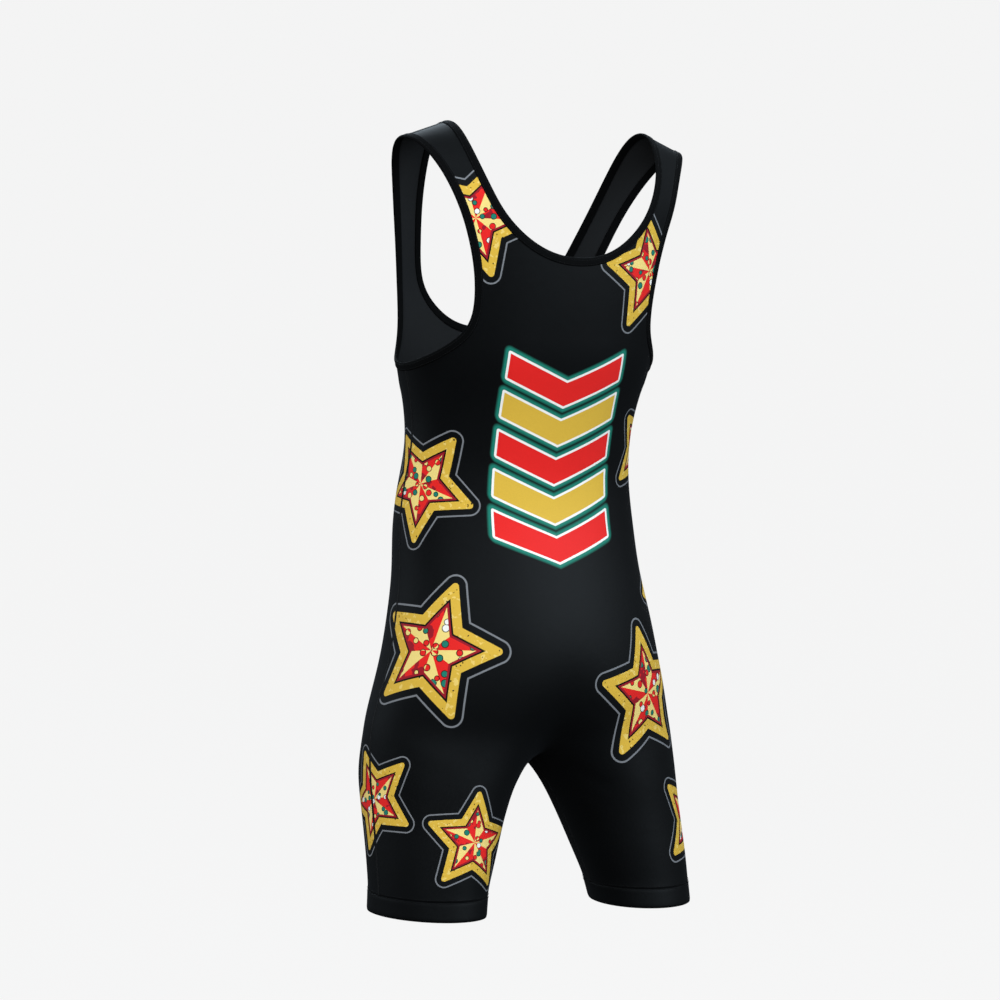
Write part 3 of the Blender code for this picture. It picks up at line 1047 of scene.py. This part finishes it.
def chevron_ink(shader, u, v, cloth):
    """The ink of the stack of chevrons at u and v, in metres from its middle."""
    aside = shader.math("ABSOLUTE", u)
    drop = shader.minus(shader.times(aside, CHEVRON_SLOPE), v)
    side = shader.minus(aside, CHEVRON_HALF_WIDTH)
    half_thickness = CHEVRON_THICKNESS * CHEVRON_SQUASH / 2
    nearest = None
    fills = []
    for down, colour in CHEVRONS:
        offset = shader.math("ABSOLUTE", shader.minus(drop, down))
        thick = shader.math("MULTIPLY_ADD", offset, CHEVRON_SQUASH, -half_thickness)
        corner = shader.length(*(shader.math("MAXIMUM", part, 0.0) for part in (side, thick)))
        within = shader.math("MINIMUM", shader.math("MAXIMUM", side, thick), 0.0)
        distance = shader.plus(corner, within)
        nearest = distance if nearest is None else shader.math("MINIMUM", nearest, distance)
        fills.append((shader.below(distance, 0.0), colour))
    glow = shader.tree.nodes.new("ShaderNodeMapRange")
    shader.put(glow.inputs["Value"], nearest)
    ends = {"From Min": TEAL_EDGE, "From Max": GLOW, "To Min": 1.0, "To Max": 0.0}
    for end, value in ends.items():
        glow.inputs[end].default_value = value
    ink = shader.mix(glow.outputs[0], cloth, "teal")
    ink = shader.mix(shader.below(nearest, WHITE_EDGE), ink, "white")
    for inside, colour in fills:
        ink = shader.mix(inside, ink, colour)
    return ink


def printed_knit():
    """Near-black warp knit with the print in it."""
    shader = Shader("printed_knit")
    source = shader.tree.nodes.new("ShaderNodeAttribute")
    source.attribute_name = "print"
    u, v, layer = shader.parts(source.outputs["Vector"])
    cloth = shader.mix(shader.noise(MOTTLE), "cloth", "tape")
    stars = shader.times(shader.above(layer, STARS_FROM), shader.below(layer, CHEVRONS_FROM))
    ink = shader.mix(stars, cloth, star_ink(shader, u, v, layer, cloth))
    chevrons = shader.above(layer, CHEVRONS_FROM)
    ink = shader.mix(chevrons, ink, chevron_ink(shader, u, v, cloth))
    yarn = shader.times(shader.noise(YARN), YARN_SHARE)
    return shader.finish(shader.mix(yarn, ink, "cloth"))


def plain_cloth(name):
    """Unprinted knit, tape or thread."""
    shader = Shader(name)
    paler = shader.times(shader.noise(FUZZ), FUZZ_SHARE)
    return shader.finish(shader.mix(paler, shader.cloth.ink, "inside"))


# ==================== stage, light and camera


def add_camera():
    data = bpy.data.cameras.new("Camera")
    data.sensor_width = SENSOR_MM
    data.lens = LENS_MM
    data.shift_y = HORIZON_SHIFT
    camera = new_object("Camera", data)
    place = BACKWARD * CAMERA_AWAY + RIGHTWARD * CAMERA_ASIDE
    camera.location = (place.x, place.y, CAMERA_HEIGHT)
    camera.rotation_euler = (-BACKWARD).to_track_quat("-Z", "Y").to_euler()
    bpy.context.scene.camera = camera


def add_stage():
    """A pale round floor that sweeps up into a wall on every side."""
    profile = [Vector((0.0, FLOOR_Z)), Vector((WALL_AWAY - SWEEP_RADIUS, FLOOR_Z))]
    for step in range(1, SWEEP_STEPS + 1):
        angle = step / SWEEP_STEPS * math.pi / 2
        across = WALL_AWAY - SWEEP_RADIUS + SWEEP_RADIUS * math.sin(angle)
        profile.append(Vector((across, FLOOR_Z + SWEEP_RADIUS * (1 - math.cos(angle)))))
    profile.append(Vector((WALL_AWAY, WALL_TOP)))
    bm = bmesh.new()
    line = [bm.verts.new((point.x, 0, point.y)) for point in profile]
    edges = [bm.edges.new(pair) for pair in zip(line, line[1:])]
    turn = {"cent": (0, 0, 0), "axis": (0, 0, 1), "angle": 2 * math.pi, "steps": ROUND_STEPS}
    bmesh.ops.spin(bm, geom=line + edges, **turn)
    bmesh.ops.remove_doubles(bm, verts=bm.verts, dist=SWEEP_WELD)
    mesh = bpy.data.meshes.new("studio_sweep")
    bm.to_mesh(mesh)
    bm.free()
    mesh.shade_smooth()
    material = bpy.data.materials.new("studio_paper")
    material.use_nodes = True
    surface = material.node_tree.nodes["Principled BSDF"]
    for name, value in PAPER.items():
        surface.inputs[name].default_value = value
    material.cycles.emission_sampling = "NONE"
    mesh.materials.append(material)
    stage = new_object("studio_sweep", mesh)
    stage.visible_diffuse = False  # the softboxes and the world light the cloth, and not the paper
    stage.visible_glossy = False
    stage.visible_shadow = False


def add_softbox(box):
    """A softbox that faces the garment's middle."""
    data = bpy.data.lights.new(box.name, "AREA")
    data.shape = "RECTANGLE"
    data.size, data.size_y = box.width, box.tall
    data.energy = box.power
    data.color = box.colour
    light = new_object(box.name, data)
    place = RIGHTWARD * box.aside + BACKWARD * box.behind
    light.location = (place.x, place.y, box.height)
    to_middle = Vector(SOFTBOX_AIM) - light.location
    light.rotation_euler = to_middle.to_track_quat("-Z", "Y").to_euler()
    light.visible_glossy = box.shines


def add_lights():
    for box in SOFTBOXES:
        add_softbox(box)
    world = bpy.data.worlds.new("World")
    world.use_nodes = True
    background = world.node_tree.nodes["Background"]
    background.inputs["Color"].default_value = (1, 1, 1, 1)
    background.inputs["Strength"].default_value = WORLD_LIGHT
    world.cycles_visibility.glossy = False
    bpy.context.scene.world = world
    bpy.context.scene.view_settings.view_transform = "Standard"


# ==================== the garment


def main():
    """Builds the garment's pieces and hides the solids that they replace."""
    skin = Skin()
    layers = print_layers(skin)
    printed = printed_knit()
    inside, tape, thread = (plain_cloth(name) for name in ("knit_inside", "binding_tape", "thread"))
    panel = (PANEL_OUT, PANEL_IN, 0.0, (printed, inside))
    hem = (HEM_OUT, HEM_IN, HEM_ROLL, (printed, inside))
    back = wall("back_panel_cloth", skin, layers, BACK, 0, *panel)
    front = wall("front_panel_cloth", skin, layers, CHEST, 0, *panel)
    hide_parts("back_panel")
    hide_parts("front_panel")
    for word, side in (("left", 1), ("right", -1)):
        wall(f"{word}_hem_cloth", skin, layers, HEM_BAND, side, *hem)
        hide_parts(f"{word}_leg_hem")
    upper, lower = [], []
    for loop in skin.edge_loops():
        middle = sum((vert.co for vert in loop), Vector()) / len(loop)
        if middle.z < TRUNK[-1].side_z * MM:
            lower.append(loop)
            continue
        upper.append(loop)
        name = "left_armhole" if middle.x > 0 else "right_armhole"
        if abs(middle.x) < NECK_REACH * MM:
            name = "neck"
        binding(f"{name}_tape", skin, loop, tape)
        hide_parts(f"{name}_binding")
    edge_stitches("binding_stitches", skin, upper, BINDING_STITCHES, thread)
    edge_stitches("hem_stitches", skin, lower, HEM_STITCHES, thread)
    flatlock("flatlock_seams", skin, skin.seam_lines(), thread)
    skin.bm.free()


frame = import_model()
add_camera()
add_stage()
add_lights()
main()
